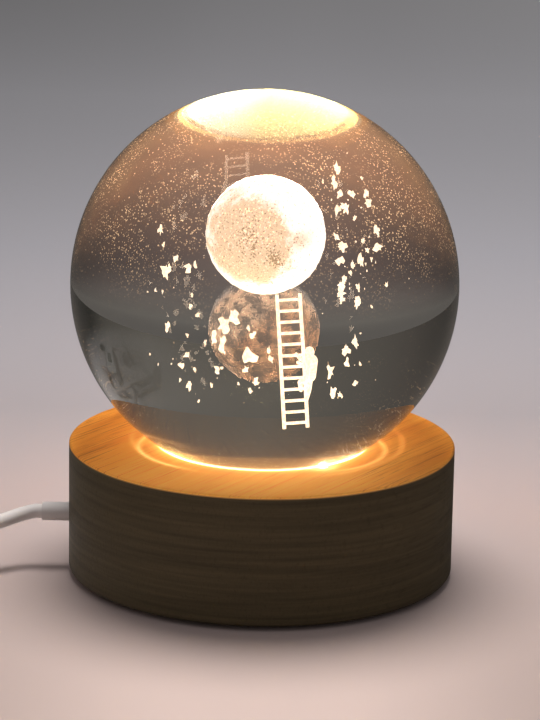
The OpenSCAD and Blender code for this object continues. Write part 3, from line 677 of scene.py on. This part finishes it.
resistor_black = plastic("resistor_black", srgb(28, 28, 30), 0.4, 3.0)
wire_red = plastic("red_insulation", srgb(190, 30, 26), 0.35)
wire_black = plastic("black_insulation", srgb(26, 26, 27), 0.35)
nylon = plastic("nylon", srgb(232, 231, 224), 0.4)
zinc = metal("zinc", srgb(206, 206, 208), 0.3, (2.0, 2.0, 0.5))
steel = metal("plug_steel", srgb(214, 214, 214), 0.22)
tin = metal("tin", srgb(200, 202, 206), 0.25, (1.0, 1.0, 1.0))
gold = metal("gold_plate", srgb(228, 190, 104), 0.25)

# %% Give each piece of the model its finish
FINISHES = {
    "light_window": window_glow, "reflector_ring": reflector_white, "light_board": board_white,
    "led_chips": chip_yellow, "resistors": resistor_black, "solder_joints": tin,
    "board_screws": zinc, "wire_red": wire_red, "wire_black": wire_black, "inner_lead": sheath,
    "inner_lead_tie": nylon, "strain_relief": sleeve, "bottom_cover": black_cover,
    "cover_screws": zinc, "rubber_feet": foot_rubber, "engraved_ladder": line_white,
    "switch_lower_shell": switch_white, "switch_upper_shell": switch_white,
    "switch_screws": zinc, "switch_contacts": gold, "switch_lead_ends": sheath,
    "rocker_pin": steel, "rocker": rocker_grey, "contact_bridge": gold, "coil_ties": pale_band,
    "plug_grip": sleeve, "plug_shell": steel, "plug_tongue": tongue_white,
    "plug_contacts": gold,
}
for name, finish in FINISHES.items():
    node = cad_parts[name].data
    node.materials.clear()
    node.materials.append(finish)
for lead in (lead_a, lead_b):
    lead.data.materials.append(sheath)
print(len(FINISHES), "model pieces have their finish")

# %% [markdown]
# ## The base
# The base was turned on a lathe, and the mesh is made the same way: a few points of its
# outline are spun about the middle, and then the outer corners and the seat's rim are
# rounded. The window sits in a pocket at the foot of the seat, over the well that the light
# comes up. Under the well is the bay of the light board, and then the bottom cover's recess.

# %% A helper that puts a finished mesh in the scene


def add_piece(name, shape, finishes, body, replaced):
    """Makes an object of a finished bmesh, and says what it rides on and stands for."""
    mesh = bpy.data.meshes.new(name)
    shape.to_mesh(mesh)
    shape.free()
    for finish in finishes:
        mesh.materials.append(finish)
    piece = bpy.data.objects.new(name, mesh)
    scene.collection.objects.link(piece)
    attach(piece, body)
    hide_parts(replaced)
    print(name, "has", len(mesh.polygons), "faces")


# %% Helpers for spun shapes
NEAR, SAME_PLACE = 1e-6, 1e-7


def spin_outline(outline, steps):
    """Spins a closed outline of (radius, height) points in millimetres about Z."""
    shape = bmesh.new()
    verts = [shape.verts.new((r * MM, 0, h * MM)) for r, h in outline]
    edges = [shape.edges.new(pair) for pair in zip(verts, verts[1:] + verts[:1])]
    bmesh.ops.spin(shape, geom=verts + edges, cent=(0, 0, 0), axis=(0, 0, 1),
                   angle=math.tau, steps=steps, use_merge=True)
    bmesh.ops.remove_doubles(shape, verts=shape.verts, dist=SAME_PLACE)
    bmesh.ops.recalc_face_normals(shape, faces=shape.faces)
    return shape


def ring_edges(shape, radius, height):
    """The edges of a spun shape that lie on one circle, in millimetres."""
    def on_circle(vertex):
        return (abs(math.hypot(vertex.co.x, vertex.co.y) - radius * MM) < NEAR
                and abs(vertex.co.z - height * MM) < NEAR)
    return [edge for edge in shape.edges if all(on_circle(v) for v in edge.verts)]


def smooth_faces(shape):
    for face in shape.faces:
        face.smooth = True


def crisp_edges(shape, limit=30):
    """Leaves every edge crisp that is sharper than the limit, in degrees."""
    for edge in shape.edges:
        if len(edge.link_faces) == 2:
            edge.smooth = edge.calc_face_angle() < math.radians(limit)


# %% Turn the base
BASE_R, BASE_LOW = 40.2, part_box("wood_base")[0].z / MM
COVER_DEPTH = 2
WINDOW_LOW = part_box("light_window")[0].z / MM
POCKET_R, WELL_R, BAY_R, COVER_R = 19.4, 17.7, 23.5, 28.05
BOARD_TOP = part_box("light_board")[1].z / MM
outline = [
    (BAY_R, BASE_LOW + COVER_DEPTH), (BAY_R, BOARD_TOP), (WELL_R, BOARD_TOP),
    (WELL_R, WINDOW_LOW), (POCKET_R, WINDOW_LOW), (POCKET_R, FLAT_Z), (SEAT_R, FLAT_Z),
    (SEAT_R, WOOD_TOP), (BASE_R, WOOD_TOP), (BASE_R, BASE_LOW), (COVER_R, BASE_LOW),
    (COVER_R, BASE_LOW + COVER_DEPTH)]
ROUNDED_CORNERS = (
    (BASE_R, WOOD_TOP, 0.5), (BASE_R, BASE_LOW, 0.8), (SEAT_R, WOOD_TOP, 0.12))
BASE_STEPS = 192
base = spin_outline(outline, BASE_STEPS)
for radius, height, size in ROUNDED_CORNERS:
    bmesh.ops.bevel(base, geom=ring_edges(base, radius, height), offset=size * MM, segments=4,
                    profile=0.5, affect="EDGES", material=-1)
smooth_faces(base)
crisp_edges(base)
add_piece("turned_base", base, [wood], "base", "wood_base")

# %% [markdown]
# ## The ball
# Light bends at every face of a glass ball, so its mesh must be very round: 256 faces
# round the middle keep the picture inside it free of facets. A plane cuts the flat, and
# the open ring is closed with one face that gets the matt finish.

# %% Make the ball
BALL_STEPS = 256
ball = bmesh.new()
bmesh.ops.create_uvsphere(ball, u_segments=BALL_STEPS, v_segments=BALL_STEPS // 2,
                          radius=BALL_R * MM)
bmesh.ops.translate(ball, verts=ball.verts, vec=(0, 0, BALL_Z * MM))
bmesh.ops.bisect_plane(ball, geom=ball.verts[:] + ball.edges[:] + ball.faces[:],
                       dist=SAME_PLACE, plane_co=(0, 0, FLAT_Z * MM), plane_no=(0, 0, -1),
                       clear_outer=True)
rim = [edge for edge in ball.edges if edge.is_boundary]
smooth_faces(ball)
flat = bmesh.ops.edgeloop_fill(ball, edges=rim, mat_nr=1, use_smooth=False)["faces"]
bmesh.ops.recalc_face_normals(ball, faces=ball.faces)
for edge in rim:
    edge.smooth = False
print("the flat has", len(flat), "face with", len(rim), "sides")
add_piece("glass_ball", ball, [clear_glass, ground_glass], "ball", "crystal_ball")

# %% [markdown]
# ## The moon
# The engraved moon is a shell of small cracks, not a smooth ball. A fine sphere whose
# points are pushed in and out a little by noise gives it that broken skin. It starts a
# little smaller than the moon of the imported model, so that the skin ends about where that
# moon does.

# %% Make the moon
SHRUNK = 0.985
CRACK_DEPTH, CRACKS = 0.012, 1400
DENT_DEPTH, DENTS = 0.008, 400
moon = bmesh.new()
bmesh.ops.create_icosphere(moon, subdivisions=6, radius=moon_r * SHRUNK)
for vertex in moon.verts:
    vertex.co *= (1 + CRACK_DEPTH * noise.noise(vertex.co * CRACKS)
                  + DENT_DEPTH * noise.noise(vertex.co * DENTS))
bmesh.ops.translate(moon, verts=moon.verts, vec=moon_middle)
smooth_faces(moon)
add_piece("moon", moon, [moon_white], "ball", "engraved_moon")

# %% [markdown]
# ## The stars
# Each star is a flake of cracks with ragged points, taller than it is wide. The packed
# model says where the stars are, and a small ball with its points pulled in and out at
# random makes a flake there. About half of them have a bright crumb beside them, and half
# of these a faint one too.

# %% Find the stars of the model


def lumps(mesh):
    """The middle and the width of every separate lump of a mesh, from left to right."""
    shape = bmesh.new()
    shape.from_mesh(mesh)
    bmesh.ops.remove_doubles(shape, verts=shape.verts, dist=NEAR)
    seen, found = set(), []
    for start in shape.verts:
        front, lump = [start], []
        while front:
            vertex = front.pop()
            if vertex in seen:
                continue
            seen.add(vertex)
            lump.append(vertex.co.copy())
            front += [edge.other_vert(vertex) for edge in vertex.link_edges]
        if lump:
            middle = sum(lump, Vector()) / len(lump)
            found.append((middle, max((point - middle).length for point in lump) * 2))
    shape.free()
    return sorted(found, key=lambda lump: [round(value / MM, 2) for value in lump[0]])


places = lumps(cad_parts["engraved_stars"].data)
print("the model has", len(places), "stars")

# %% Make the stars
BRIGHT, FAINT = 0, 1
CRUMBS = ((), (), (BRIGHT,), (BRIGHT, FAINT))
PULLED_IN = 0.75


def add_flake(shape, chance, middle, size, subdivisions, finish):
    """A ragged flake: a coarse ball with most of its points pulled in, and a few long ones."""
    made = bmesh.ops.create_icosphere(shape, subdivisions=subdivisions, radius=size / 2)["verts"]
    squash = Vector((chance.uniform(0.45, 0.85), 0.5, chance.uniform(0.85, 1.2)))
    for vertex in made:
        drawn_in = chance.random() < PULLED_IN
        pull = chance.uniform(0.35, 0.6) if drawn_in else chance.uniform(0.9, 1.2)
        vertex.co = middle + vertex.co * squash * pull
    for face in {face for vertex in made for face in vertex.link_faces}:
        face.material_index = finish


stars, chance = bmesh.new(), random.Random(21)
for middle, width in places:
    middle += Vector((chance.gauss(0, 0.8), 0, chance.gauss(0, 0.8))) * MM
    add_flake(stars, chance, middle, width * chance.uniform(1.2, 1.6), 2, BRIGHT)
    for finish in chance.choice(CRUMBS):
        crumb = middle + Vector([chance.gauss(0, 1.4) * MM for axis in range(3)])
        add_flake(stars, chance, crumb, chance.uniform(0.25, 0.6) * MM, 1, finish)
add_piece("stars", stars, [line_white, faint_white], "ball", "engraved_stars")

# %% [markdown]
# ## The climber
# A climber of 8 mm is a few round limbs: each is a cone between two balls. Lit from below
# they melt into one bright figure.

# %% A helper for limbs


def add_limb(shape, start, end, start_r, end_r):
    """A cone with a ball at each end, in millimetres."""
    start, end = Vector(start), Vector(end)
    for middle, radius in ((start, start_r), (end, end_r)):
        joint = bmesh.ops.create_icosphere(shape, subdivisions=3, radius=radius * MM)["verts"]
        bmesh.ops.translate(shape, verts=joint, vec=middle * MM)
    turn = (end - start).to_track_quat("Z", "Y").to_matrix().to_4x4()
    place = Matrix.Translation((start + end) / 2 * MM) @ turn
    bmesh.ops.create_cone(shape, cap_ends=False, segments=24, radius1=start_r * MM,
                          radius2=end_r * MM, depth=(end - start).length * MM, matrix=place)


# %% Make the climber
LIMBS = {
    "head": [((2.1, 0, 7.3), (2.15, 0, 7.1), 0.62, 0.62)],
    "body": [((2.25, 0, 5.9), (2.1, 0, 3.9), 0.98, 0.9)],
    "near arm": [((1.9, -0.2, 5.9), (0.9, -0.5, 6.2), 0.34, 0.26),
                 ((0.9, -0.5, 6.2), (0.3, -0.3, 6.9), 0.26, 0.22)],
    "far arm": [((2.2, 0.2, 5.8), (1.3, 0.5, 5.2), 0.32, 0.25),
                ((1.3, 0.5, 5.2), (0.5, 0.3, 5.7), 0.25, 0.22)],
    "near leg": [((1.8, -0.3, 3.7), (0.9, -0.5, 3.0), 0.5, 0.36),
                 ((0.9, -0.5, 3.0), (1.0, -0.3, 1.9), 0.36, 0.24)],
    "far leg": [((2.1, 0.3, 3.6), (2.0, 0.4, 1.9), 0.5, 0.36),
                ((2.0, 0.4, 1.9), (1.7, 0.3, 0.4), 0.36, 0.24)],
}
low, high = (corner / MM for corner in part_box("engraved_climber"))
corner = Vector((low.x, (low.y + high.y) / 2, low.z))
climber = bmesh.new()
for name, limbs in LIMBS.items():
    for start, end, start_r, end_r in limbs:
        add_limb(climber, corner + Vector(start), corner + Vector(end), start_r, end_r)
    print("the climber has its", name)
smooth_faces(climber)
add_piece("climber", climber, [line_white], "ball", "engraved_climber")

# %% [markdown]
# ## The floor
# The lamp stands on a pale table that fades to grey behind it. It is a little darker at the
# sides, and lighter and darker across the corners, which is painted shade. The fade is in the
# colour of the floor, not in the light on the lamp. A glass ball turns its room upside down
# and mirrors it too, so the floor has two more colours. For rays that come through the glass
# it is warm brown near the lamp, dark further off and grey far behind; the warm brown is
# painted light of the lamp, and its darker sides near the lamp are painted shade. In
# reflections it is dark, as in a dim room, except near the coil of the lead. There it is
# about as pale as the coil, so that the coil hardly shows on the ball.

# %% The floor's finish
LEAD_PLACE = (-92.0, -12.0)
CORNER_SHADE = 0.0000016


def floor_as_seen(f, x, y):
    depth = f.between(y, -150, 950, "LINEAR")
    seen = f.ramp(depth, (0.05, (0.8, 0.615, 0.55)), (0.17, (0.65, 0.515, 0.485)),
                  (0.25, (0.485, 0.425, 0.428)), (0.42, (0.59, 0.56, 0.59)),
                  (0.68, (0.79, 0.765, 0.785)), (1.0, (0.75, 0.73, 0.72)))
    # Painted shade: darker at the sides, most towards the front, and tilted across the corners.
    sides = f.between(abs(x), 12, 60) * (f.between(y, 200, -100) * 0.26 + 0.04)
    return f.glow(seen, 1.0 - sides + x * y * CORNER_SHADE)


def floor_through_glass(f, x, y, point):
    patchy = y + (f.grain(point, 0.04, 3.0) - 0.5) * 70.0
    # Painted light: the warm brown near the lamp stands for the lamp's glow on the table behind
    # it.
    room = f.ramp(patchy / 600.0, (0.1, (0.42, 0.22, 0.11)), (0.16, (0.3, 0.15, 0.085)),
                  (0.2, (0.22, 0.12, 0.075)), (0.25, (0.155, 0.093, 0.067)),
                  (0.32, (0.125, 0.085, 0.07)), (0.5, (0.175, 0.142, 0.122)),
                  (1.0, (0.37, 0.335, 0.28)))
    # Painted shade: darker to the sides near the lamp.
    fall = fade(abs(x), 60.0) * 1.15 + 0.45
    return f.glow(room, fall + (1.0 - fall) * f.between(y, 150, 350))


def make_floor_finish():
    f = Finish("table")
    point = f.place()
    x, y = f.axis(point, "X"), f.axis(point, "Y")
    from_coil = length_of(x - LEAD_PLACE[0], y - LEAD_PLACE[1])
    mirrored = f.mix(f.between(from_coil, 55, 120), (0.74, 0.7, 0.68), (0.09, 0.085, 0.08))
    colour = f.mix(f.ray("Is Glossy Ray"), floor_as_seen(f, x, y), mirrored)
    colour = f.mix(f.ray("Is Transmission Ray"), colour, floor_through_glass(f, x, y, point))
    f.surface(Base_Color=colour, Roughness=0.6)
    return f.material


table = make_floor_finish()
tell(table)

# %% Make the floor
floor_shape = bmesh.new()
bmesh.ops.create_grid(floor_shape, x_segments=2, y_segments=2, size=4.0)
floor_mesh = bpy.data.meshes.new("floor")
floor_shape.to_mesh(floor_mesh)
floor_shape.free()
floor_mesh.materials.append(table)
floor = bpy.data.objects.new("floor", floor_mesh)
scene.collection.objects.link(floor)
floor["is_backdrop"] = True
print("the floor is", round(floor.dimensions.x), "m wide")

# %% [markdown]
# ## The light on the lamp
# One soft round lamp overhead throws the shadow of the lead straight down, and the world
# fills in the rest. The lamp would be a hard white disc on the ball, so neither reflections
# nor the glass show it.

# %% Light the scene
LAMP_TARGET = Vector((0, 0, 0.03))
lamp_data = bpy.data.lights.new("overhead", "AREA")
lamp_data.shape = "DISK"
lamp_data.size, lamp_data.energy = 0.16, 1.7
overhead = bpy.data.objects.new("overhead", lamp_data)
overhead.location = (0.0, 0.06, 0.42)
overhead.rotation_euler = (LAMP_TARGET - overhead.location).to_track_quat("-Z", "Y").to_euler()
overhead.visible_glossy = False
overhead.visible_transmission = False
scene.collection.objects.link(overhead)
print("the lamp hangs", round(overhead.location.z / MM), "mm over the table")

# %% [markdown]
# The world does three things. It fills the shadows with even light, it is a dark room with
# a pale ceiling in the reflections, and it is dark slate where the ball bends it into view.
# A cap on stray light keeps single bright dots out of the picture.

# %% Make the world
DOT_CAP = 30.0
world = bpy.data.worlds.new("studio")
scene.world = world
world.use_nodes = True
room = Tree(world.node_tree)
way = room.node("TexCoord", output="Generated")
side, up = room.axis(way, "X"), room.axis(way, "Z")
ceiling = room.mix(room.between(up, 0.2, 1.0), (0.05, 0.05, 0.05), (0.45, 0.43, 0.42))
slate = room.ramp(side * 0.5 + 0.5, (0.05, (0.02, 0.018, 0.015)), (0.2, (0.062, 0.054, 0.046)),
                  (0.3, (0.08, 0.072, 0.061)), (0.5, (0.112, 0.1, 0.083)),
                  (0.72, (0.1, 0.091, 0.077)), (0.84, (0.06, 0.055, 0.046)),
                  (0.9, (0.01, 0.01, 0.008)))
colour = room.mix(room.ray("Is Glossy Ray"), (0.22, 0.22, 0.23), ceiling)
colour = room.mix(room.ray("Is Transmission Ray"), colour, slate)
colour = room.mix(room.ray("Is Camera Ray"), colour, srgb(98, 96, 95))
sky = room.node("Background", None, {"Color": colour})
world_out = world.node_tree.nodes.new("ShaderNodeOutputWorld")
room.feed(world_out.inputs["Surface"], sky)
scene.cycles.sample_clamp_indirect = DOT_CAP
tell(world)

# %% [markdown]
# ## The lead's length
# The two halves of the lead are added up, and its whole length is printed.

print("the lead is", round(length_a + length_b, 2), "m long in all")

# %% Measure the dressed lamp, and finish
low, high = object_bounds()
print("the dressed lamp is", [round((b - a) / MM, 1) for a, b in zip(low, high)], "mm")
